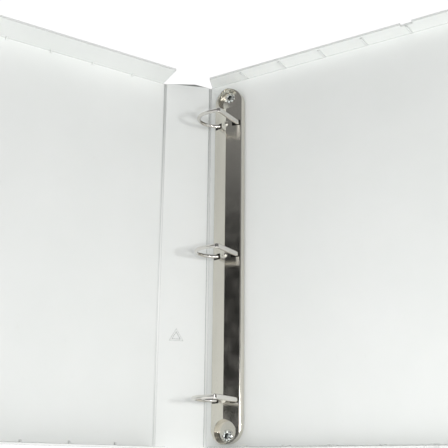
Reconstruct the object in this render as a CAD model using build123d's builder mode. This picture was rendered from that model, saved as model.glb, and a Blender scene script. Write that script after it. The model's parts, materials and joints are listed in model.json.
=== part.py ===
"""Case-type ring binder standing open in a V: two walled covers on a spine, with a three-ring metal."""

import os
from math import asin, atan, cos, degrees, radians, sin

from build123d import *

# Case, in millimetres. Every panel is described in its own plane: x along the panel,
# y up the binder and z out of the panel's inner face, towards the pages.
PANEL_HEIGHT = 288.0  # between the inner creases of the top and bottom walls
COVER_WIDTH = 256.0  # hinge axis to the inner face of the fore-edge wall
SPINE_WIDTH = 38.9  # hinge axis to hinge axis
PANEL_THICKNESS = 1.5
WALL_THICKNESS = 1.4
WALL_LEAN = 1.0  # how far a wall leans outwards at its lip
FRONT_WALL_DEPTH = 24.4
BACK_WALL_DEPTH = 13.5
CORNER_RADIUS = 7.0
BASE = WALL_THICKNESS + WALL_LEAN  # height of the lower crease above the ground

# The binder is stored open: how far each panel turns from the one before it.
SPINE_HEADING = 44.33  # of the spine, from the back cover
FRONT_HEADING = SPINE_HEADING + 21.27

# Living hinges: a thin web, flush with the inner faces, bends about an axis at its mid-thickness.
WEB_THICKNESS = 0.5
WEB_AXIS = WEB_THICKNESS / 2  # behind the inner faces
WEB_HALF_WIDTH = 1.6  # hinge axis to the full-thickness panel
WEB_GAP = 0.5  # hinge axis to the cover's own half of the web

FRONT_WALL_END = 3.4  # hinge axis to the wall's end at its lip
BACK_WALL_END = 7.5
SPINE_GABLE_AT = 25.2  # from the front hinge to the peak of the spine's ends
SPINE_END_RISE = 0.3  # of the spine's ends above the crease, beside the hinges

RIB_PITCH = 34.6
BACK_RIB_START = 35.5
FRONT_RIB_START = 30.0
RIBS_ALONG_WALL = 7
RIB_WIDTH = 1.4
BACK_RIB_PROUD = 0.4
GUSSET_LEG = 2.4
ROOT = 0.4  # how far ribs, gussets and tabs are sunk into what carries them
SNAP_AT = 174.2  # along the top and bottom walls
SNAP_WIDTH = 8.6
SNAP_DEPTH = 2.2
TAB_WIDTH = 7.6
TAB_GAUGE = 1.0
TAB_REACH = 1.6
FORE_SNAPS = (72.0, 216.0)  # heights above the lower crease

MARK_AT = (15.0, 82.4)  # moulding mark on the spine: a raised triangular frame
MARK_RADII = (6.0, 3.6)
MARK_RISE = 0.2

# Ring metal, on the back cover.
RING_PITCH = 107.95
RING_MIDDLE = BASE + 140.45
RING_HEIGHTS = {
    "top": RING_MIDDLE + RING_PITCH,
    "middle": RING_MIDDLE,
    "bottom": RING_MIDDLE - RING_PITCH,
}
PLATE_CENTRE = 20.5  # from the back hinge axis
PLATE_LENGTH = 278.0
PLATE_HALF_WIDTH = 12.8
PLATE_GAUGE = 0.9
PLATE_LIFT = 1.0  # gap under the skirts
SHOULDER = 5.2
SHOULDER_RADIUS = 1.5
RIDGE = 8.6
RECESS_FROM_END = 8.8
RECESS_RADII = (8.5, 7.65)
RECESS_FLOOR = 2.2
RECESS_FLARE = 10.0
SLOT_INNER = 4.9  # ring slots, from the ridge
SLOT_OUTER = 11.6
SLOT_WIDTH = 4.4
SLOT_FLOOR = 2.7
RIVET_FROM_END = 5.9

BLADE_PIVOT = 11.2  # from the plate's centre line
BLADE_PIVOT_HEIGHT = 3.6
BLADE_GAUGE = 1.2
BLADE_MARGIN = 21.0  # blade end to plate end
BLADE_CENTRE_GAP = 0.3
CLOSED_TILT = 5.0  # inner edges lie below the pivots while the rings are closed
GUIDE_NOTCH_RADIUS = 1.9

WIRE_RADIUS = 1.4
CURVED_FOOT = 6.9  # from the plate's centre line
FOOT_BEND_START = 5.4
FOOT_BEND_RADIUS = 3.0
FOOT_BEND = 60.0
LOOP_RADIUS = 14.0
CROWN_START = 8.0  # heading where the loop flattens into the crown
CROWN_END = -9.0
CROWN_RADIUS = 40.0
POST_FOOT = 9.6
POST_WIDTH = 3.6
POST_GAUGE = 2.6
POST_ROUNDING = 0.9
POST_STRAIGHT_TOP = 32.3
POST_BEND_RADIUS = 1.5
POST_BEND = 78.0
STAKE_HEIGHT = 2.3  # underside of the staked feet
STAKE_GAUGE = 0.5
STAKE_SPREAD = 0.4
NOSE_RADIUS = 0.7
NOSE_LENGTH = 0.6
NOSE_TAPER = 30.0
SOCKET_GAP = 0.2
SOCKET_TAPER = 25.0
FIT = 0.02

RIVET_RADIUS = 2.4
RIVET_BORE = 1.6
RIVET_HEAD_RADIUS = 5.5
RIVET_HEAD_GAUGE = 0.7
RIVET_HEAD_EDGE = 0.4
RIVET_SEAT = 0.8  # depth of the seats that sink the heads into the cover's outside
FLARE_RADIUS = 4.2
FLARE_RISE = 1.2
FLARE_SLITS = 8
SLIT_RADIUS = 1.5
COLLAR_RADIUS = 4.5
GUIDE_RADIUS = 1.2
GUIDE_HEAD_RADIUS = 2.4
GUIDE_HEAD_HEIGHT = 1.3
GUIDE_FOOT_RADIUS = 2.2
GUIDE_FOOT = (0.7, 1.5)  # underside and top of the lower head


def hinge_plan():
    """Back and front hinge axes in plan, with the binder's outline centred on the origin."""
    fore_edge = COVER_WIDTH + WALL_THICKNESS
    spine = radians(SPINE_HEADING)
    front = radians(FRONT_HEADING)
    axis_x = -SPINE_WIDTH * cos(spine)
    axis_y = -SPINE_WIDTH * sin(spine)
    low_x = axis_x - fore_edge * cos(front) - (PANEL_THICKNESS - WEB_AXIS) * sin(front)
    tab_edge = fore_edge + WALL_LEAN - (WALL_THICKNESS - TAB_GAUGE) / 2
    tab_tip = FRONT_WALL_DEPTH + TAB_REACH + WEB_AXIS
    low_y = axis_y - tab_edge * sin(front) - tab_tip * cos(front)
    high_x = fore_edge + WALL_LEAN
    high_y = PANEL_THICKNESS - WEB_AXIS
    back_axis = Vector(-(low_x + high_x) / 2, -(low_y + high_y) / 2, 0)
    return back_axis, back_axis + Vector(axis_x, axis_y, 0)


def panel_plane(axis, heading):
    """Inner face of a panel whose x direction has this heading, level with the ground at y = 0."""
    along = Vector(cos(radians(heading)), sin(radians(heading)), 0)
    inward = Vector(along.Y, -along.X, 0)
    return Plane(origin=axis + inward * WEB_AXIS, x_dir=along, z_dir=inward)


BACK_AXIS, FRONT_AXIS = hinge_plan()
BACK = panel_plane(BACK_AXIS, 0)
SPINE = panel_plane(FRONT_AXIS, SPINE_HEADING)
FRONT = panel_plane(FRONT_AXIS, FRONT_HEADING)
PLATE = Plane(BACK.from_local_coords(Vector(PLATE_CENTRE, 0, 0)), x_dir=BACK.x_dir, z_dir=BACK.z_dir)


def section(panel, height):
    """Level plane with the panel's x and z as its own x and y; positive extrusion goes down."""
    origin = panel.from_local_coords(Vector(0, height, 0))
    return Plane(origin=origin, x_dir=panel.x_dir, z_dir=-panel.y_dir)


TOP = 2 * BASE + PANEL_HEIGHT
MID_HEIGHT = BASE + PANEL_HEIGHT / 2


def cover_shell(panel, side, depth, wall_end):
    """Walled panel: side is +1 where the cover runs along the panel's x, -1 where it runs against it."""
    lean = -degrees(atan(WALL_LEAN / (depth + PANEL_THICKNESS)))
    hinge_side = -side * 2 * BASE
    with BuildPart() as shell:
        with BuildSketch(panel.offset(-PANEL_THICKNESS)) as outline:
            with Locations((side * (COVER_WIDTH + WALL_THICKNESS) / 2, MID_HEIGHT)):
                Rectangle(COVER_WIDTH + WALL_THICKNESS, PANEL_HEIGHT + 2 * WALL_THICKNESS)
            fillet(outline.vertices().group_by(Axis.X if side > 0 else -Axis.X)[-1], CORNER_RADIUS)
        extrude(amount=PANEL_THICKNESS + depth, taper=lean)
        with BuildSketch(panel) as hollow:
            with Locations((side * (COVER_WIDTH - CORNER_RADIUS) / 2, MID_HEIGHT)):
                Rectangle(COVER_WIDTH + CORNER_RADIUS, PANEL_HEIGHT)
            inner_radius = CORNER_RADIUS - WALL_THICKNESS
            fillet(hollow.vertices().group_by(Axis.X if side > 0 else -Axis.X)[-1], inner_radius)
        extrude(amount=depth + 1, taper=lean, mode=Mode.SUBTRACT)
        with BuildSketch(section(panel, TOP + 1)):
            with BuildLine():
                Polyline(
                    (hinge_side, -PANEL_THICKNESS - 1),
                    (side * WEB_HALF_WIDTH, -PANEL_THICKNESS - 1),
                    (side * WEB_HALF_WIDTH, -WEB_THICKNESS),
                    (side * WEB_GAP, -WEB_THICKNESS),
                    (side * WEB_GAP, 0),
                    (side * WEB_HALF_WIDTH, 0),
                    (side * wall_end, depth),
                    (side * wall_end, depth + 1),
                    (hinge_side, depth + 1),
                    close=True,
                )
            make_face()
        extrude(amount=TOP + 2, mode=Mode.SUBTRACT)
    return shell


def cut_web_ends(panel, side):
    """Keeps the cover's half of the hinge web between the creases, clear of the wall's thickness."""
    with BuildPart() as ends:
        with BuildSketch(panel.offset(-PANEL_THICKNESS)):
            with Locations(
                (side * WEB_HALF_WIDTH / 2, BASE / 2), (side * WEB_HALF_WIDTH / 2, TOP - BASE / 2)
            ):
                Rectangle(WEB_HALF_WIDTH, BASE)
        extrude(amount=PANEL_THICKNESS)
    return ends


def wall_stations(start):
    return [start + RIB_PITCH * k for k in range(RIBS_ALONG_WALL)]


def fore_stations():
    return [MID_HEIGHT + RIB_PITCH * k for k in range(-3, 4)]


def make_back_cover():
    """Shallow cover that carries the ring metal, with low wall ribs, snap notches and rivet seats."""
    shell = cover_shell(BACK, 1, BACK_WALL_DEPTH, BACK_WALL_END)
    web_ends = cut_web_ends(BACK, 1)
    with BuildPart() as cover:
        add(shell.part)
        add(web_ends.part, mode=Mode.SUBTRACT)
        with BuildSketch(BACK.offset(-ROOT)):
            low, high = BASE, BASE + PANEL_HEIGHT
            with Locations(*[(s, y) for s in wall_stations(BACK_RIB_START) for y in (low, high)]):
                Rectangle(RIB_WIDTH, 2 * BACK_RIB_PROUD)
            with Locations(*[(COVER_WIDTH, y) for y in fore_stations()]):
                Rectangle(2 * BACK_RIB_PROUD, RIB_WIDTH)
        extrude(amount=BACK_WALL_DEPTH - 1)
        with BuildSketch(BACK.offset(BACK_WALL_DEPTH - SNAP_DEPTH)):
            with Locations((SNAP_AT, BASE / 2), (SNAP_AT, TOP - BASE / 2)):
                Rectangle(SNAP_WIDTH, BASE + 1)
            with Locations(*[(COVER_WIDTH + BASE / 2, BASE + y) for y in FORE_SNAPS]):
                Rectangle(BASE + 1, SNAP_WIDTH)
        extrude(amount=SNAP_DEPTH + 1, mode=Mode.SUBTRACT)
        with Locations(PLATE):
            with Locations(*[(0, y, 0) for y in rivet_heights()]):
                Cylinder(RIVET_RADIUS + FIT, 4 * PANEL_THICKNESS, mode=Mode.SUBTRACT)
            with Locations(*[(0, y, -PANEL_THICKNESS) for y in rivet_heights()]):
                Cylinder(RIVET_HEAD_RADIUS + FIT, 2 * RIVET_SEAT, mode=Mode.SUBTRACT)
    return cover


def make_front_cover():
    """Deep cover, with small gussets along its creases and snap tabs beyond its lips."""
    shell = cover_shell(FRONT, -1, FRONT_WALL_DEPTH, FRONT_WALL_END)
    web_ends = cut_web_ends(FRONT, -1)
    gusset = [(-ROOT, ROOT), (-ROOT, -GUSSET_LEG), (GUSSET_LEG, ROOT)]
    mid_wall = WALL_THICKNESS / 2
    with BuildPart() as cover:
        add(shell.part)
        add(web_ends.part, mode=Mode.SUBTRACT)
        for station in wall_stations(FRONT_RIB_START):
            start = FRONT.from_local_coords(Vector(-station + RIB_WIDTH / 2, 0, 0))
            with BuildSketch(Plane(origin=start, x_dir=FRONT.z_dir, z_dir=-FRONT.x_dir)):
                for crease, up in ((BASE, 1), (BASE + PANEL_HEIGHT, -1)):
                    with BuildLine():
                        Polyline(*[(z, crease - up * y) for z, y in gusset], close=True)
                    make_face()
            extrude(amount=RIB_WIDTH)
        with BuildSketch(FRONT.offset(FRONT_WALL_DEPTH - ROOT)):
            with Locations((-SNAP_AT, mid_wall), (-SNAP_AT, TOP - mid_wall)):
                Rectangle(TAB_WIDTH, TAB_GAUGE)
            fore_wall = COVER_WIDTH + BASE - mid_wall
            with Locations(*[(-fore_wall, BASE + y) for y in FORE_SNAPS]):
                Rectangle(TAB_GAUGE, TAB_WIDTH)
        extrude(amount=ROOT + TAB_REACH)
    return cover


def make_spine():
    """Flat spine whose ends rise to a low gable that follows the lips of the closed covers."""
    near, far = WEB_HALF_WIDTH, SPINE_WIDTH - WEB_HALF_WIDTH
    foot = BASE - SPINE_END_RISE
    with BuildPart() as spine:
        with BuildSketch(SPINE.offset(-PANEL_THICKNESS)):
            with BuildLine():
                Polyline(
                    (near, foot),
                    (SPINE_GABLE_AT, 0),
                    (far, foot),
                    (far, TOP - foot),
                    (SPINE_GABLE_AT, TOP),
                    (near, TOP - foot),
                    close=True,
                )
            make_face()
        extrude(amount=PANEL_THICKNESS)
        with BuildSketch(SPINE):
            with Locations(MARK_AT):
                RegularPolygon(radius=MARK_RADII[0], side_count=3, rotation=90)
                RegularPolygon(radius=MARK_RADII[1], side_count=3, rotation=90, mode=Mode.SUBTRACT)
        extrude(amount=MARK_RISE)
    return spine


def make_web(axis_at, side):
    """Spine's half of a living hinge, rounded about the hinge axis."""
    with BuildPart() as web:
        with BuildSketch(section(SPINE, TOP - BASE)):
            with Locations((axis_at, -WEB_AXIS)):
                Circle(WEB_AXIS)
            with Locations((axis_at + side * WEB_HALF_WIDTH / 2, -WEB_AXIS)):
                Rectangle(WEB_HALF_WIDTH, WEB_THICKNESS)
        extrude(amount=PANEL_HEIGHT)
    return web


def plate_ends():
    """Lowest and highest heights of the ring plate."""
    return RING_MIDDLE - PLATE_LENGTH / 2, RING_MIDDLE + PLATE_LENGTH / 2


def rivet_heights():
    low, high = plate_ends()
    return low + RIVET_FROM_END, high - RIVET_FROM_END


def arched_block(shrink):
    """Gabled bar with rounded ends: the plate's outside, or its inside where shrunk by the gauge."""
    half = PLATE_HALF_WIDTH - shrink
    length = PLATE_LENGTH - 2 * shrink
    floor = PLATE_LIFT - 2 * shrink
    with BuildPart() as block:
        with BuildSketch(section(PLATE, RING_MIDDLE + length / 2)) as arch:
            with BuildLine():
                Polyline(
                    (-half, floor),
                    (-half, SHOULDER - shrink),
                    (0, RIDGE - shrink),
                    (half, SHOULDER - shrink),
                    (half, floor),
                    close=True,
                )
            make_face()
            shoulders = [v for v in arch.vertices() if abs(v.X) > 1 and v.Y > PLATE_LIFT + 1]
            fillet(shoulders, SHOULDER_RADIUS - shrink)
        extrude(amount=length)
        with BuildSketch(PLATE.offset(floor)):
            with Locations((0, RING_MIDDLE)):
                SlotOverall(length, 2 * half, rotation=90)
        extrude(amount=RIDGE - floor, mode=Mode.INTERSECT)
    return block


def recess_cone(base, grow):
    """Elliptical cones over both ends of the plate, opening upwards from their base."""
    with BuildPart() as cone:
        with BuildSketch(PLATE.offset(base)):
            low, high = plate_ends()
            with Locations((0, low + RECESS_FROM_END), (0, high - RECESS_FROM_END)):
                Ellipse(RECESS_RADII[0] + grow, RECESS_RADII[1] + grow)
        extrude(amount=RIDGE, taper=-RECESS_FLARE)
    return cone


def make_ring_plate():
    """Arched sheet-steel plate: skirts, sunk elliptical ends for the rivets, and slots for the rings."""
    outside = arched_block(0)
    inside = arched_block(PLATE_GAUGE)
    cup = recess_cone(RECESS_FLOOR - PLATE_GAUGE, PLATE_GAUGE)
    recess = recess_cone(RECESS_FLOOR, 0)
    with BuildPart() as cups:
        add(cup.part)
        add(outside.part, mode=Mode.INTERSECT)
    with BuildPart() as plate:
        add(outside.part)
        add(inside.part, mode=Mode.SUBTRACT)
        add(cups.part)
        add(recess.part, mode=Mode.SUBTRACT)
        slot_centre = (SLOT_INNER + SLOT_OUTER) / 2
        with BuildSketch(PLATE.offset(SLOT_FLOOR)):
            with Locations(*[(x, y) for x in (-slot_centre, slot_centre) for y in RING_HEIGHTS.values()]):
                Rectangle(SLOT_OUTER - SLOT_INNER, SLOT_WIDTH)
        extrude(amount=RIDGE, mode=Mode.SUBTRACT)
        with Locations(PLATE):
            with Locations(*[(0, y, 0) for y in rivet_heights()]):
                Cylinder(RIVET_RADIUS + FIT, 2 * RIDGE, mode=Mode.SUBTRACT)
            with Locations(*[(0, y, RIDGE) for y in RING_HEIGHTS.values()]):
                Cylinder(GUIDE_RADIUS + FIT, 4, mode=Mode.SUBTRACT)
    return plate


def blade_plane(side, height):
    """Level plane at a blade's pivot, turned with the closed blade; x points to the plate's centre."""
    pivot = PLATE.from_local_coords(Vector(side * BLADE_PIVOT, height, BLADE_PIVOT_HEIGHT))
    tilt = radians(CLOSED_TILT)
    inner = PLATE.x_dir * (-side * cos(tilt)) - PLATE.z_dir * sin(tilt)
    return Plane(origin=pivot, x_dir=inner, z_dir=-PLATE.y_dir)


def make_blade(side):
    """Steel rail that rocks about the bead along its outer edge and carries one half of every ring."""
    low, high = plate_ends()
    start, end = high - BLADE_MARGIN, low + BLADE_MARGIN
    reach = BLADE_PIVOT - BLADE_CENTRE_GAP
    foot = CURVED_FOOT if side < 0 else POST_FOOT
    with BuildPart() as blade:
        with BuildSketch(blade_plane(side, start)):
            Circle(BLADE_GAUGE / 2)
            with Locations((reach / 2, 0)):
                Rectangle(reach, BLADE_GAUGE)
        extrude(amount=start - end)
        with Locations(PLATE):
            with Locations(*[(0, y, BLADE_PIVOT_HEIGHT) for y in RING_HEIGHTS.values()]):
                Cylinder(GUIDE_NOTCH_RADIUS, 4 * BLADE_GAUGE, mode=Mode.SUBTRACT)
            with Locations(*[(side * foot, y, BLADE_PIVOT_HEIGHT) for y in RING_HEIGHTS.values()]):
                if side < 0:
                    Cylinder(WIRE_RADIUS + FIT, 6 * BLADE_GAUGE, mode=Mode.SUBTRACT)
                else:
                    Box(POST_GAUGE + 2 * FIT, POST_WIDTH + 2 * FIT, 6 * BLADE_GAUGE, mode=Mode.SUBTRACT)
    return blade


def curved_path():
    """Centre line of a curved half, from its foot round the spine side to the tip."""
    with BuildLine() as path:
        foot = Line((-CURVED_FOOT, STAKE_HEIGHT), (-CURVED_FOOT, FOOT_BEND_START))
        bend = JernArc(foot @ 1, foot % 1, FOOT_BEND_RADIUS, FOOT_BEND)
        loop = JernArc(bend @ 1, bend % 1, LOOP_RADIUS, CROWN_START - (90 + FOOT_BEND))
        JernArc(loop @ 1, loop % 1, CROWN_RADIUS, CROWN_END - CROWN_START)
    return path.wire()


def post_path():
    """Centre line of a straight post, bent over at its top to meet the curved half."""
    with BuildLine() as path:
        leg = Line((POST_FOOT, STAKE_HEIGHT), (POST_FOOT, POST_STRAIGHT_TOP))
        JernArc(leg @ 1, leg % 1, POST_BEND_RADIUS, POST_BEND)
    return path.wire()


def ring_plane(height):
    """Level plane of one ring: x across the plate, y away from the cover."""
    return section(PLATE, height)


def make_curved_half(height):
    """Round wire half ring with a staked foot and a conical nose at its tip."""
    path = ring_plane(height) * curved_path()
    with BuildPart() as half:
        with BuildSketch(Plane(origin=path @ 0, z_dir=path % 0)):
            Circle(WIRE_RADIUS)
        sweep(path=path)
        with BuildSketch(Plane(origin=path @ 0, z_dir=path % 0)):
            Circle(WIRE_RADIUS + STAKE_SPREAD)
        extrude(amount=-STAKE_GAUGE)
        with BuildSketch(Plane(origin=path @ 1, z_dir=path % 1)):
            Circle(NOSE_RADIUS)
        extrude(amount=NOSE_LENGTH, taper=NOSE_TAPER)
    return half


def make_post(height):
    """Flat-sided post with a staked foot and, at its bent tip, the socket for the curved half's nose."""
    path = ring_plane(height) * post_path()
    with BuildPart() as post:
        with BuildSketch(Plane(origin=path @ 0, x_dir=PLATE.x_dir, z_dir=path % 0)):
            RectangleRounded(POST_GAUGE, POST_WIDTH, POST_ROUNDING)
        sweep(path=path)
        with BuildSketch(Plane(origin=path @ 0, x_dir=PLATE.x_dir, z_dir=path % 0)):
            RectangleRounded(POST_GAUGE + STAKE_SPREAD, POST_WIDTH + 2 * STAKE_SPREAD, POST_ROUNDING)
        extrude(amount=-STAKE_GAUGE)
        with BuildSketch(Plane(origin=path @ 1, z_dir=-(path % 1))):
            Circle(NOSE_RADIUS + SOCKET_GAP)
        extrude(amount=NOSE_LENGTH + SOCKET_GAP, taper=SOCKET_TAPER, mode=Mode.SUBTRACT)
    return post


def turned(profile, seats):
    """Solids of revolution about the panel's z, one at each seat (x, y) on the plate's plane."""
    with BuildPart() as group:
        for x, y in seats:
            seat = PLATE.from_local_coords(Vector(x, y, 0))
            with BuildSketch(Plane(origin=seat, x_dir=PLATE.x_dir, z_dir=-PLATE.y_dir)):
                with BuildLine():
                    Polyline(*profile, close=True)
                make_face()
            revolve(axis=Axis(seat, PLATE.z_dir))
    return group


def make_mounting_rivets():
    """Tubular rivets: flat head sunk in the cover's outside, bore, and a mouth splayed over the plate."""
    seat = -PANEL_THICKNESS + RIVET_SEAT
    head = seat - RIVET_HEAD_GAUGE
    bore_floor = head + RIVET_HEAD_EDGE
    profile = [
        (0, head),
        (RIVET_HEAD_RADIUS - RIVET_HEAD_EDGE, head),
        (RIVET_HEAD_RADIUS, head + RIVET_HEAD_EDGE),
        (RIVET_HEAD_RADIUS, seat),
        (RIVET_RADIUS, seat),
        (RIVET_RADIUS, RECESS_FLOOR),
        (FLARE_RADIUS, RECESS_FLOOR),
        (FLARE_RADIUS, RECESS_FLOOR + FLARE_RISE / 3),
        (RIVET_RADIUS, RECESS_FLOOR + FLARE_RISE),
        (RIVET_BORE, RECESS_FLOOR + FLARE_RISE / 2),
        (RIVET_BORE, bore_floor),
        (0, bore_floor),
    ]
    bodies = turned(profile, [(0, y) for y in rivet_heights()])
    with BuildPart() as rivets:
        add(bodies.part)
        with BuildSketch(PLATE.offset(RECESS_FLOOR + FIT)):
            with Locations(*[(0, y) for y in rivet_heights()]):
                with PolarLocations(FLARE_RADIUS, FLARE_SLITS):
                    RegularPolygon(radius=SLIT_RADIUS, side_count=3, rotation=180)
        extrude(amount=2 * FLARE_RISE, mode=Mode.SUBTRACT)
    return rivets


def make_spacer_collars():
    """Flat rings that hold the sunk ends of the plate off the cover."""
    gap = RECESS_FLOOR - PLATE_GAUGE
    profile = [(RIVET_RADIUS + FIT, 0), (COLLAR_RADIUS, 0), (COLLAR_RADIUS, gap), (RIVET_RADIUS + FIT, gap)]
    return turned(profile, [(0, y) for y in rivet_heights()])


def make_guide_rivets():
    """Dome-headed rivets on the ridge; their lower heads keep the blades from dropping."""
    crown = RIDGE + GUIDE_HEAD_HEIGHT
    dome = (GUIDE_HEAD_RADIUS**2 + GUIDE_HEAD_HEIGHT**2) / (2 * GUIDE_HEAD_HEIGHT)
    with BuildPart() as rivets:
        for y in RING_HEIGHTS.values():
            seat = PLATE.from_local_coords(Vector(0, y, 0))
            with BuildSketch(Plane(origin=seat, x_dir=PLATE.x_dir, z_dir=-PLATE.y_dir)):
                with BuildLine():
                    cap = JernArc((0, crown), (1, 0), dome, -degrees(asin(GUIDE_HEAD_RADIUS / dome)))
                    Polyline(
                        cap @ 1,
                        (GUIDE_RADIUS, RIDGE),
                        (GUIDE_RADIUS, GUIDE_FOOT[1]),
                        (GUIDE_FOOT_RADIUS, GUIDE_FOOT[1]),
                        (GUIDE_FOOT_RADIUS, GUIDE_FOOT[0]),
                        (0, GUIDE_FOOT[0]),
                        (0, crown),
                    )
                make_face()
            revolve(axis=Axis(seat, PLATE.z_dir))
    return rivets


def write(name, built):
    built.part.label = name
    export_step(built.part, f"parts/{name}.step")


os.makedirs("parts", exist_ok=True)
write("back_cover", make_back_cover())
write("front_cover", make_front_cover())
write("spine", make_spine())
write("front_hinge_web", make_web(0, 1))
write("back_hinge_web", make_web(SPINE_WIDTH, -1))
write("ring_plate", make_ring_plate())
write("spine_side_blade", make_blade(-1))
write("page_side_blade", make_blade(1))
for station, ring_height in RING_HEIGHTS.items():
    write(f"curved_ring_{station}", make_curved_half(ring_height))
    write(f"straight_post_{station}", make_post(ring_height))
write("mounting_rivets", make_mounting_rivets())
write("spacer_collars", make_spacer_collars())
write("guide_rivets", make_guide_rivets())
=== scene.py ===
"""Looks of the ring binder around its CAD frame: materials, hinges, rivets, light and camera."""

import json
from math import cos, radians, sin, tau

import bmesh
import bpy
from mathutils import Matrix, Vector


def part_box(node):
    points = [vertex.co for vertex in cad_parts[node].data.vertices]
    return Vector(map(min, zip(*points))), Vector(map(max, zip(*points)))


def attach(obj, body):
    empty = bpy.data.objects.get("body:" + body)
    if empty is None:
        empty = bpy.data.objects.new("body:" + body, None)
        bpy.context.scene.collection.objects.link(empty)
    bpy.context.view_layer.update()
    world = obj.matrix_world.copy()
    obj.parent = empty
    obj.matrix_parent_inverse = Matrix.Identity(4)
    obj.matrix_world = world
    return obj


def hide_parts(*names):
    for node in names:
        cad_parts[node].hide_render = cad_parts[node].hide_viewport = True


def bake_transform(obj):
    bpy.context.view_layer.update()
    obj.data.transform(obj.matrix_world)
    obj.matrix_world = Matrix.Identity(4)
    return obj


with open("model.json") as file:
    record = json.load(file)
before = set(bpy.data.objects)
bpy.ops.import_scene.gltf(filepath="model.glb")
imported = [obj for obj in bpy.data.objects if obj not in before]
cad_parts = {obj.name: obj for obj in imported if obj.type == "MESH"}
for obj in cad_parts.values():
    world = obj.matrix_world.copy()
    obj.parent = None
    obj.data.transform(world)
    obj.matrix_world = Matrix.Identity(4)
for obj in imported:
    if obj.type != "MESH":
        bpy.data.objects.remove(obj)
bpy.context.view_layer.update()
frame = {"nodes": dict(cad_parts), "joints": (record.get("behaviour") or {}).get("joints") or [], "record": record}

MM = 0.001

# Sizes that the looks share with the CAD model, in metres.
PANEL_THICKNESS = 1.5 * MM
WEB_THICKNESS = 0.5 * MM


# ---------------------------------------------------------------- the frame's panels

class Panel:
    """One panel of the open case: its direction away from the hinge axis, and its inner face's normal."""

    def __init__(self, axis, along):
        self.along = along.normalized()
        self.inward = Vector((self.along.y, -self.along.x, 0))
        self.origin = Vector((axis.x, axis.y, 0)) + self.inward * WEB_THICKNESS / 2


joint_at = {joint["name"]: Vector(joint["pos_m"]) for joint in frame["joints"]}
mount_axis = {mount["name"]: Vector(mount["axis"]) for mount in frame["record"]["mounts"]}
front_axis, back_axis = joint_at["front_hinge"], joint_at["back_hinge"]
front_outward = mount_axis["front_cover_face"]
BACK = Panel(back_axis, Vector((1, 0, 0)))
SPINE = Panel(front_axis, back_axis - front_axis)
FRONT = Panel(front_axis, Vector((front_outward.y, -front_outward.x, 0)))


# ---------------------------------------------------------------- materials

def new_material(name, colour, roughness, metallic=0.0):
    """A node material and its Principled shader."""
    material = bpy.data.materials.new(name)
    material.use_nodes = True
    material.diffuse_color = (*colour, 1)
    shader = material.node_tree.nodes["Principled BSDF"]
    shader.inputs["Base Color"].default_value = (*colour, 1)
    shader.inputs["Roughness"].default_value = roughness
    shader.inputs["Metallic"].default_value = metallic
    return material, shader


def add_node(material, kind, **settings):
    """New node; each setting is one of its own properties or the value of one of its inputs."""
    node = material.node_tree.nodes.new(kind)
    for key, value in settings.items():
        if key in node.inputs and not hasattr(node, key):
            node.inputs[key].default_value = value
        else:
            setattr(node, key, value)
    return node


def link(material, source, target):
    material.node_tree.links.new(source, target)


def noise(material, scale, detail=3.0, stretch=(1, 1, 1), roughness=0.55):
    """Noise in the object's own metres; stretch lengthens its grain along an axis."""
    where = add_node(material, "ShaderNodeTexCoord")
    mapping = add_node(material, "ShaderNodeMapping", Scale=stretch)
    texture = add_node(material, "ShaderNodeTexNoise", Scale=scale, Detail=detail, Roughness=roughness)
    link(material, where.outputs["Object"], mapping.inputs["Vector"])
    link(material, mapping.outputs["Vector"], texture.inputs["Vector"])
    return texture.outputs["Fac"]


def ramp(material, value, stops):
    """Colour ramp over a value, from (position, colour) stops."""
    node = add_node(material, "ShaderNodeValToRGB")
    elements = node.color_ramp.elements
    while len(elements) < len(stops):
        elements.new(0.5)
    for element, (position, colour) in zip(elements, stops):
        element.position = position
        element.color = (*colour, 1)
    link(material, value, node.inputs["Fac"])
    return node.outputs["Color"]


def remap(material, value, low, high, out_low, out_high):
    """Value carried linearly from low..high to out_low..out_high."""
    node = add_node(material, "ShaderNodeMapRange")
    for key, number in zip(("From Min", "From Max", "To Min", "To Max"), (low, high, out_low, out_high)):
        node.inputs[key].default_value = number
    link(material, value, node.inputs["Value"])
    return node.outputs["Result"]


def bump(material, shader, layers):
    """Stacks bump layers of (height, depth in metres) onto the shader's normal."""
    normal = None
    for height, depth in layers:
        node = add_node(material, "ShaderNodeBump", Strength=1.0, Distance=depth)
        link(material, height, node.inputs["Height"])
        if normal is not None:
            link(material, normal, node.inputs["Normal"])
        normal = node.outputs["Normal"]
    link(material, normal, shader.inputs["Normal"])


def edge_mask(material, radius):
    """1 along edges and inner corners within the radius, 0 on open faces."""
    geometry = add_node(material, "ShaderNodeNewGeometry")
    rounded = add_node(material, "ShaderNodeBevel", samples=6, Radius=radius)
    dot = add_node(material, "ShaderNodeVectorMath", operation="DOT_PRODUCT")
    link(material, geometry.outputs["Normal"], dot.inputs[0])
    link(material, rounded.outputs["Normal"], dot.inputs[1])
    return remap(material, dot.outputs["Value"], *EDGE_TURN, 0.0, 1.0)


def painted_shade_mask(material):
    """The painted shade that the pieces store on their points, darkening crease lines, bores and petal splits; 0
    on every other piece.
    """
    return add_node(material, "ShaderNodeAttribute", attribute_name="crease").outputs["Fac"]


def mix_colour(material, factor, first, second):
    """Mixes two colours, each a socket or a plain colour, by a factor socket."""
    node = add_node(material, "ShaderNodeMix", data_type="RGBA")
    link(material, factor, node.inputs["Factor"])
    for socket, colour in ((node.inputs[6], first), (node.inputs[7], second)):
        if isinstance(colour, tuple):
            socket.default_value = (*colour, 1)
        else:
            link(material, colour, socket)
    return node.outputs[2]


# Painted shade on the white plastic: thin edges and inner corners darken towards near black.
EDGE_SHADE_RADIUS = 0.55 * MM
EDGE_TURN = (0.97, 0.84)  # cosines of the smoothed normal's turn where the painted edge shade starts and is full
TOP_EDGE_SHADE_SHARES = (0.9935, 0.9950)  # of the spine's height, where the painted shade line starts and is full


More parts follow.
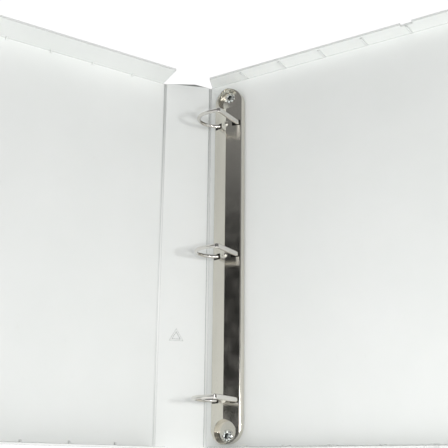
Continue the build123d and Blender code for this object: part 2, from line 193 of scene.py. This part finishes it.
def polypropylene(name="white_polypropylene", paint_top_edge_shade=False):
    """Satin white moulding: milky clouds, fine grain and rubbed spots, with painted shade that darkens thin edges,
    inner corners and creases.

    With the top-edge flag set, painted shade also draws a dark line along the spine's thin top edge.
    """
    material, shader = new_material(name, (0.86, 0.88, 0.865), 0.42)
    clouds = noise(material, 11, 4)
    colour = ramp(material, clouds, [(0.3, (0.845, 0.865, 0.85)), (0.7, (0.885, 0.9, 0.888))])
    speckle = remap(material, noise(material, 340, 2), 0.66, 0.8, 0.0, 0.35)
    colour = mix_colour(material, speckle, colour, (0.80, 0.815, 0.80))
    # Painted shade: thin edges and inner corners darken towards near black.
    edges = remap(material, edge_mask(material, EDGE_SHADE_RADIUS), 0, 1, 0, 0.95)
    colour = mix_colour(material, edges, colour, (0.13, 0.14, 0.135))
    # Painted shade along the crease lines whose points store it.
    colour = mix_colour(material, painted_shade_mask(material), colour, (0.40, 0.42, 0.41))
    # Painted shade: a dark line along the spine's thin top edge.
    if paint_top_edge_shade:
        place = add_node(material, "ShaderNodeTexCoord")
        split = add_node(material, "ShaderNodeSeparateXYZ")
        link(material, place.outputs["Generated"], split.inputs[0])
        ends = remap(material, split.outputs["Z"], *TOP_EDGE_SHADE_SHARES, 0.0, 0.9)
        colour = mix_colour(material, ends, colour, (0.16, 0.17, 0.165))
    link(material, colour, shader.inputs["Base Color"])
    rubbed = noise(material, 70, 5, (1, 1, 0.35))
    link(material, remap(material, rubbed, 0.3, 0.75, 0.36, 0.5), shader.inputs["Roughness"])
    grain = noise(material, 2600, 2)
    flow = noise(material, 45, 2, (1, 1, 0.2))
    bump(material, shader, [(flow, 0.00009), (grain, 0.000022)])
    shader.inputs["Subsurface Weight"].default_value = 0.12
    shader.inputs["Subsurface Radius"].default_value = (1.0, 0.98, 0.92)
    shader.inputs["Subsurface Scale"].default_value = 0.0015
    shader.inputs["IOR"].default_value = 1.49
    return material


def nickel(name, colour, roughness, streak, smudge):
    """Bright plating: long drawing lines, fine orange peel and dull finger smudges."""
    material, shader = new_material(name, colour, roughness, metallic=1.0)
    tint = noise(material, 26, 4, (1, 1, 0.25))
    darker = tuple(channel * 0.86 for channel in colour)
    link(material, ramp(material, tint, [(0.32, darker), (0.68, colour)]), shader.inputs["Base Color"])
    smudges = noise(material, 85, 5)
    dulled = remap(material, smudges, 0.38, 0.72, roughness, roughness + smudge)
    link(material, dulled, shader.inputs["Roughness"])
    lines = noise(material, 900, 3, (1, 1, 0.012))
    peel = noise(material, 420, 2)
    bump(material, shader, [(lines, streak), (peel, 0.000012)])
    return material


def zinc():
    """Bright zinc on the rivets: a crystalline mottle, small tool marks, and painted shade that turns the bore and
    the splits between petals near black.
    """
    material, shader = new_material("zinc_plating", (0.80, 0.83, 0.82), 0.22, metallic=1.0)
    mottle = noise(material, 900, 4)
    colour = ramp(material, mottle, [(0.35, (0.62, 0.66, 0.65)), (0.6, (0.95, 0.97, 0.96))])
    # Painted shade: near black in the rivet's bore and between its petals.
    colour = mix_colour(material, painted_shade_mask(material), colour, (0.015, 0.022, 0.02))
    link(material, colour, shader.inputs["Base Color"])
    link(material, remap(material, mottle, 0.3, 0.7, 0.14, 0.34), shader.inputs["Roughness"])
    bump(material, shader, [(noise(material, 1500, 3), 0.00003)])
    return material


PLASTIC = polypropylene()
SPINE_PLASTIC = polypropylene("white_polypropylene_spine", True)
PLATE = nickel("nickel_plate", (0.74, 0.715, 0.65), 0.13, 0.00001, 0.10)
WIRE = nickel("nickel_wire", (0.74, 0.72, 0.69), 0.06, 0.000006, 0.07)
# The blades' near-black colour, far darker than their steel, is painted shade for the shadowed slots they lie in.
BLADE_IN_PAINTED_SHADE = nickel("blade_steel", (0.07, 0.068, 0.064), 0.42, 0.00003, 0.15)
ZINC = zinc()
FINISH = {
    "polypropylene": PLASTIC,
    "nickel_plate": PLATE,
    "nickel_wire": WIRE,
    "blade_steel": BLADE_IN_PAINTED_SHADE,
    "rivet_steel": ZINC,
}
EDGE_ROUNDING = {"back_cover": 0.25, "front_cover": 0.25, "spine": 0.2, "ring_plate": 0.22}  # mm
WELD_DISTANCE = 0.002 * MM
ROUNDED_ABOVE = radians(32)

slot_of = {entry["node"]: entry["material_slot"] for entry in frame["record"]["subparts"]}


def finish_node(name, node):
    """Gives a CAD node its finish, and softens its moulded or pressed edges."""
    finish = SPINE_PLASTIC if name == "spine" else FINISH[slot_of[name]]
    for slot in node.material_slots:
        slot.link = "OBJECT"
        slot.material = finish
    if name in EDGE_ROUNDING:
        weld = node.modifiers.new("weld", "WELD")
        weld.merge_threshold = WELD_DISTANCE
        rounding = node.modifiers.new("rounding", "BEVEL")
        rounding.width = EDGE_ROUNDING[name] * MM
        rounding.segments = 2
        rounding.limit_method = "ANGLE"
        rounding.angle_limit = ROUNDED_ABOVE
        rounding.harden_normals = True
        even = node.modifiers.new("even_shading", "WEIGHTED_NORMAL")
        even.weight = 100
        even.keep_sharp = True


for name, node in frame["nodes"].items():
    finish_node(name, node)


# ---------------------------------------------------------------- mesh helpers

def make_piece(name, mesh_data, finish, body):
    """Smooth-shaded object from a bmesh, riding a body unless body is None."""
    mesh = bpy.data.meshes.new(name)
    mesh_data.normal_update()
    mesh_data.to_mesh(mesh)
    mesh_data.free()
    piece = bpy.data.objects.new(name, mesh)
    bpy.context.scene.collection.objects.link(piece)
    mesh.materials.append(finish)
    for polygon in mesh.polygons:
        polygon.use_smooth = True
    if body:
        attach(piece, body)
    return piece


def store_painted_shade(piece, shades):
    """Stores a painted shade from 0 to 1 on each point, which the materials' painted-shade mask reads."""
    crease = piece.data.attributes.new("crease", "FLOAT", "POINT")
    crease.data.foreach_set("value", shades)


def loft(rings, closed_path=False):
    """Quads between successive closed rings of points, with end caps unless the path closes too."""
    mesh = bmesh.new()
    rows = [[mesh.verts.new(point) for point in ring] for ring in rings]
    count = len(rows[0])
    pairs = list(zip(rows, rows[1:])) + ([(rows[-1], rows[0])] if closed_path else [])
    for low, high in pairs:
        for k in range(count):
            mesh.faces.new((low[k], low[(k + 1) % count], high[(k + 1) % count], high[k]))
    if not closed_path:
        mesh.faces.new(rows[0])
        mesh.faces.new(rows[-1])
    bmesh.ops.recalc_face_normals(mesh, faces=mesh.faces)
    return mesh


# ---------------------------------------------------------------- living hinges

STRIP_THICKNESS = 0.46 * MM
STRIP_ON_SPINE = 1.75 * MM  # from the hinge axis into the spine's edge
STRIP_ON_COVER = 1.0 * MM  # from the hinge axis into the cover's half of the web
STRIP_BEND = 0.55 * MM
GROOVE_DEPTH = 0.10 * MM
GROOVE_HALF_WIDTH = 0.17 * MM
STRIP_STEPS = 50


def strip_line(spine_dir, cover_dir, spine_normal, cover_normal, t):
    """Middle of the strip and its normal, t from the spine side through the bend to the cover side."""
    if t <= -STRIP_BEND:
        return spine_dir * -t, spine_normal
    if t >= STRIP_BEND:
        return cover_dir * t, cover_normal
    share = (t + STRIP_BEND) / (2 * STRIP_BEND)
    start, end = spine_dir * STRIP_BEND, cover_dir * STRIP_BEND
    point = start * (1 - share) ** 2 + end * share ** 2
    return point, spine_normal.lerp(cover_normal, share).normalized()


def groove_share(t, grooves):
    """1 at the bottom of a crease line, falling to 0 at its edges."""
    return max(max(0.0, 1 - abs(t - groove) / GROOVE_HALF_WIDTH) for groove in grooves)


def hinge_strip(name, axis, spine_dir, cover_dir, spine_normal, cover_normal, node, grooves):
    """Thin web bent between the spine and a cover, with fine crease lines along its inner face.

    grooves holds the crease lines' distances from the hinge axis, negative on the spine's side.
    """
    low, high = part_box(node)
    section, shade = [], []
    for side in (1, -1):
        steps = range(STRIP_STEPS + 1) if side > 0 else range(STRIP_STEPS, -1, -1)
        for k in steps:
            t = -STRIP_ON_SPINE + (STRIP_ON_SPINE + STRIP_ON_COVER) * k / STRIP_STEPS
            point, normal = strip_line(spine_dir, cover_dir, spine_normal, cover_normal, t)
            # Painted shade: each groove's bottom is stored darker, darkest at the crease line's middle.
            groove = groove_share(t, grooves) if side > 0 else 0.0
            section.append(point + normal * side * (STRIP_THICKNESS / 2 - groove * GROOVE_DEPTH))
            shade.append(groove)
    base = Vector((axis.x, axis.y, 0))
    middle_z = (low.z + high.z) / 2
    rings = [[base + p + Vector((0, 0, z)) for p in section] for z in (low.z, middle_z, high.z)]
    piece = make_piece(name, loft(rings), PLASTIC, None)
    store_painted_shade(piece, shade * len(rings))
    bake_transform(piece)
    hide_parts(node)


hinge_strip("front_hinge_strip", front_axis, SPINE.along, -FRONT.along,
            SPINE.inward, FRONT.inward, "front_hinge_web", (-0.2 * MM, 0.75 * MM))
hinge_strip("back_hinge_strip", back_axis, -SPINE.along, BACK.along,
            SPINE.inward, BACK.inward, "back_hinge_web", (-1.4 * MM, 0.75 * MM))


# ---------------------------------------------------------------- rivets

PETALS = 8
RIVET_STEPS = 160
BARREL_RADIUS = 2.38 * MM
BORE_RADIUS = 1.65 * MM
PETAL_RADIUS = 4.7 * MM
PLATE_FLOOR = 2.2 * MM  # of the plate's recesses, above the cover's inner face
OUTSIDE = -PANEL_THICKNESS


def rivet_profile():
    """Closed half section of a rivet: (radius, height above the inner face, share of the petals' reach)."""
    barrel, bore, tip = BARREL_RADIUS, BORE_RADIUS, PETAL_RADIUS
    bottom_of_bore = [
        (0.02 * MM, OUTSIDE + 0.35 * MM, 0),
        (bore * 0.8, OUTSIDE + 0.35 * MM, 0),
        (bore, OUTSIDE + 0.6 * MM, 0),
        (bore, PLATE_FLOOR + 0.2 * MM, 0),
        (bore + 0.1 * MM, PLATE_FLOOR + 0.75 * MM, 0),
    ]
    petals = [
        (barrel - 0.25 * MM, PLATE_FLOOR + 1.15 * MM, 0),
        (barrel + 0.35 * MM, PLATE_FLOOR + 1.3 * MM, 0.3),
        (barrel + 1.0 * MM, PLATE_FLOOR + 1.15 * MM, 0.65),
        (tip - 0.3 * MM, PLATE_FLOOR + 0.75 * MM, 0.9),
        (tip, PLATE_FLOOR + 0.38 * MM, 1),
        (tip - 0.25 * MM, PLATE_FLOOR + 0.12 * MM, 1),
        (tip - 0.8 * MM, PLATE_FLOOR + 0.25 * MM, 0.8),
        (barrel + 0.5 * MM, PLATE_FLOOR + 0.5 * MM, 0.4),
        (barrel, PLATE_FLOOR + 0.3 * MM, 0),
    ]
    head = [
        (barrel, OUTSIDE + 0.82 * MM, 0),
        (5.1 * MM, OUTSIDE + 0.8 * MM, 0),
        (5.42 * MM, OUTSIDE + 0.72 * MM, 0),
        (5.45 * MM, OUTSIDE + 0.4 * MM, 0),
        (5.2 * MM, OUTSIDE + 0.18 * MM, 0),
        (4.2 * MM, OUTSIDE + 0.1 * MM, 0),
        (0.02 * MM, OUTSIDE + 0.08 * MM, 0),
    ]
    return bottom_of_bore + petals + head


def petal_reach(angle, phase):
    """0 in the splits between petals, 1 along each petal's middle."""
    wave = 0.5 + 0.5 * cos(PETALS * angle + phase)
    return min(1.0, wave * 2.6) ** 0.7


def splayed_rivet(name, centre, phase):
    """Tubular rivet: flat head sunk in the cover's outside and a mouth split into petals that curl over."""
    rings, shade = [], []
    for k in range(RIVET_STEPS):
        angle = tau * k / RIVET_STEPS
        reach = petal_reach(angle, phase)
        ring = []
        for radius, height, share in rivet_profile():
            excess = max(0.0, radius - BARREL_RADIUS) if share else 0.0
            r = radius - excess * (1 - reach)
            drop = (height - PLATE_FLOOR - 0.5 * MM) * 0.45 * (1 - reach) * share
            ring.append(centre + Vector((r * cos(angle), -(height - drop), r * sin(angle))))
            # Painted shade: the bore and the splits between petals are stored dark.
            in_bore = height > OUTSIDE + MM and not share and radius < BARREL_RADIUS - 0.5 * MM
            shade.append(1.0 if in_bore else 0.85 * max(0.0, 1 - reach * 1.6) * (share > 0))
        rings.append(ring)
    piece = make_piece(name, loft(rings, closed_path=True), ZINC, "back_cover")
    store_painted_shade(piece, shade)
    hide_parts("mounting_rivets")


rivets_low, rivets_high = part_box("mounting_rivets")
rivet_x = (rivets_low.x + rivets_high.x) / 2
head_radius = (rivets_high.x - rivets_low.x) / 2
for name, z, phase in (("mounting_rivet_bottom", rivets_low.z + head_radius, 0.4),
                       ("mounting_rivet_top", rivets_high.z - head_radius, 2.1)):
    splayed_rivet(name, Vector((rivet_x, BACK.origin.y, z)), phase)


# ---------------------------------------------------------------- stage, light and camera

ROOM_LEVEL = 0.25
BACKDROP_LEVEL = 1.04
FLOOR_GLOW = 0.36
FLOOR_POOL_GLOW = 0.36  # glow added at the middle of the painted light pool
FLOOR_POOL_AT = (0.08, 0.06, 0)
FLOOR_POOL_RADIUS = 0.34
FLOOR_HALF_SIZE = 40.0
BACKDROP_TOWARDS = (-0.54, 0.84, 0.1)
UNLIT_TOWARDS = (-0.06, -0.97, 0.0)  # what the plate's right facet mirrors
UNLIT_SHARE = 0.09
UNLIT_ANGLES = (radians(22.5), radians(16))  # from its middle, where it starts and is full


def floor_finish():
    """Pale table seen from above only, so that a camera below its level looks past it; it glows evenly, with a
    painted light pool of stronger glow near the binder.
    """
    material, shader = new_material("studio_floor", (0.86, 0.86, 0.85), 0.6)
    dust = ramp(material, noise(material, 6, 4), [(0.3, (0.84, 0.84, 0.83)), (0.7, (0.88, 0.88, 0.87))])
    link(material, dust, shader.inputs["Base Color"])
    where = add_node(material, "ShaderNodeTexCoord")
    spread = add_node(material, "ShaderNodeVectorMath", operation="DISTANCE")
    spread.inputs[1].default_value = FLOOR_POOL_AT
    link(material, where.outputs["Object"], spread.inputs[0])
    distance = spread.outputs["Value"]
    # Painted light: a pool of stronger glow around FLOOR_POOL_AT, fading out to the even glow.
    glow = remap(material, distance, 0.0, FLOOR_POOL_RADIUS, FLOOR_GLOW + FLOOR_POOL_GLOW, FLOOR_GLOW)
    glow.node.interpolation_type = "SMOOTHSTEP"
    link(material, glow, shader.inputs["Emission Strength"])
    shader.inputs["Emission Color"].default_value = (1, 1, 1, 1)
    geometry = add_node(material, "ShaderNodeNewGeometry")
    clear = add_node(material, "ShaderNodeBsdfTransparent")
    choose = add_node(material, "ShaderNodeMixShader")
    output = material.node_tree.nodes["Material Output"]
    link(material, geometry.outputs["Backfacing"], choose.inputs[0])
    link(material, shader.outputs["BSDF"], choose.inputs[1])
    link(material, clear.outputs["BSDF"], choose.inputs[2])
    link(material, choose.outputs["Shader"], output.inputs["Surface"])
    return material


def lay_floor():
    mesh = bmesh.new()
    bmesh.ops.create_grid(mesh, x_segments=1, y_segments=1, size=FLOOR_HALF_SIZE)
    data = bpy.data.meshes.new("floor")
    mesh.to_mesh(data)
    mesh.free()
    floor = bpy.data.objects.new("floor", data)
    floor.location.z = -0.05 * MM
    bpy.context.scene.collection.objects.link(floor)
    data.materials.append(floor_finish())
    return floor


def all_but(floor):
    """Receivers of the low softboxes: everything except the floor, which would show hot spots beside them."""
    group = bpy.data.collections.new("lit_by_softboxes")
    group.objects.link(floor)
    group.collection_objects[0].light_linking.link_state = "EXCLUDE"
    return group


def softbox(name, at, towards, size, watts, colour=(1, 1, 1)):
    at, towards = Vector(at), Vector(towards)
    data = bpy.data.lights.new(name, "AREA")
    data.shape = "RECTANGLE"
    data.size, data.size_y = size
    data.energy = watts
    data.color = colour
    light = bpy.data.objects.new(name, data)
    light.location = at
    light.rotation_euler = (towards - at).to_track_quat("-Z", "Y").to_euler()
    light.visible_camera = False
    light.light_linking.receiver_collection = lit_by_softboxes
    bpy.context.scene.collection.objects.link(light)


def facing(tree, where, direction, start, end, low, high):
    """Level from low to high as a direction's cosine with the given one goes from start to end."""
    dot = tree.nodes.new("ShaderNodeVectorMath")
    dot.operation = "DOT_PRODUCT"
    dot.inputs[1].default_value = Vector(direction).normalized()
    scale = tree.nodes.new("ShaderNodeMapRange")
    scale.interpolation_type = "SMOOTHSTEP"
    for key, number in zip(("From Min", "From Max", "To Min", "To Max"), (start, end, low, high)):
        scale.inputs[key].default_value = number
    tree.links.new(where.outputs["Generated"], dot.inputs[0])
    tree.links.new(dot.outputs["Value"], scale.inputs["Value"])
    return scale.outputs["Result"]


def studio_world():
    """White backdrop behind the binder, a dimmer room before it, and an unlit corner for the metal."""
    world = bpy.data.worlds.new("studio")
    bpy.context.scene.world = world
    world.use_nodes = True
    tree = world.node_tree
    background = tree.nodes["Background"]
    where = tree.nodes.new("ShaderNodeTexCoord")
    backdrop = facing(tree, where, BACKDROP_TOWARDS, -0.1, 0.55, ROOM_LEVEL, BACKDROP_LEVEL)
    outer, inner = UNLIT_ANGLES
    unlit = facing(tree, where, UNLIT_TOWARDS, cos(outer), cos(inner), 1.0, UNLIT_SHARE)
    product = tree.nodes.new("ShaderNodeMath")
    product.operation = "MULTIPLY"
    tree.links.new(backdrop, product.inputs[0])
    tree.links.new(unlit, product.inputs[1])
    tree.links.new(product.outputs["Value"], background.inputs["Strength"])
    background.inputs["Color"].default_value = (1.0, 1.0, 1.0, 1)


lit_by_softboxes = all_but(lay_floor())
studio_world()
softbox("low_side", (0.60, -0.20, 0.03), (-0.04, 0.10, 0.14), (0.06, 0.06), 0.86, (1.0, 0.995, 0.985))
softbox("low_front", (0.30, -0.60, 0.06), (0.0, 0.10, 0.10), (0.30, 0.10), 0.55)
softbox("low_fill", (0.25, -0.22, 0.015), (-0.03, 0.12, 0.05), (0.05, 0.025), 0.30)


LENS = 66.11
EYE = Vector((0.28402, -0.38207, -0.01708))
AZIMUTH, ELEVATION, ROLL = radians(32.619), radians(16.978), radians(0.599)


def photo_camera():
    """Camera at the photograph's viewing angle: low, before the open V, looking up at the ring metal."""
    data = bpy.data.cameras.new("camera")
    data.sensor_width = 36
    data.lens = LENS
    camera = bpy.data.objects.new("camera", data)
    bpy.context.scene.collection.objects.link(camera)
    look = Vector((-sin(AZIMUTH) * cos(ELEVATION), cos(AZIMUTH) * cos(ELEVATION), sin(ELEVATION)))
    side = look.cross(Vector((0, 0, 1))).normalized()
    up = side.cross(look)
    side, up = side * cos(ROLL) + up * sin(ROLL), up * cos(ROLL) - side * sin(ROLL)
    axes = Matrix((side, up, -look)).transposed()
    camera.matrix_world = Matrix.Translation(EYE) @ axes.to_4x4()
    bpy.context.scene.camera = camera


photo_camera()
bpy.context.scene.view_settings.view_transform = "Standard"
